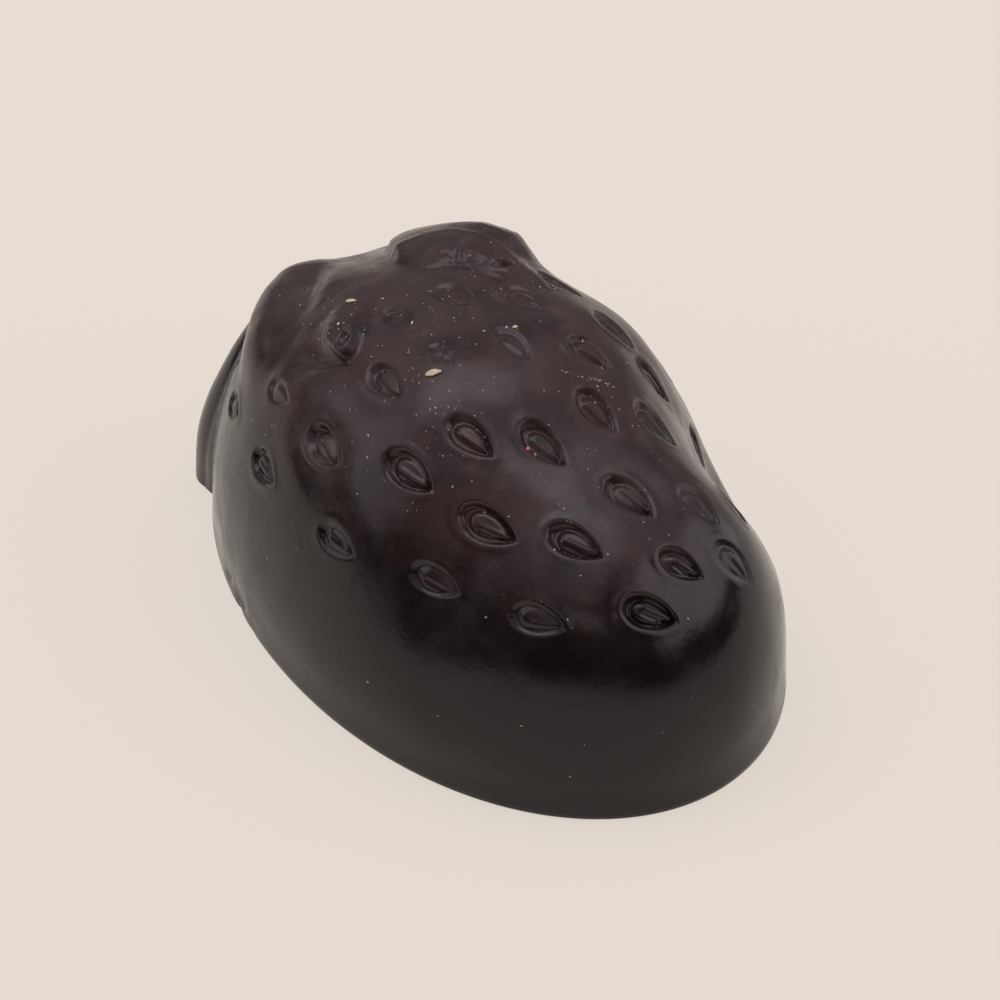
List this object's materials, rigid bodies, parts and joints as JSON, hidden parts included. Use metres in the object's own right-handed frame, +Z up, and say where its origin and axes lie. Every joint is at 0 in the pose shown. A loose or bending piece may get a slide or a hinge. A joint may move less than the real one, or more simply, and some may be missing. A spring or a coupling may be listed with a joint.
{
  "type": "chocolate bonbon",
  "caption": "Moulded dark chocolate bonbon shaped like a half strawberry with seed pits, a blunt point, curled leaves at its back and a flat underside.",
  "frame": {"origin": "middle of the flat underside", "axes": "+Z up, +Y from the berry's point to its leaves, +X across, to the right when looking from the point to the leaves"},
  "size_m": [0.0262, 0.04, 0.0183],
  "materials": {
    "dark_chocolate": "dark chocolate with a soft semi-gloss bloom"
  },
  "bodies": {
    "root": {"bonbon": "dark_chocolate"}
  },
  "joints": []
}
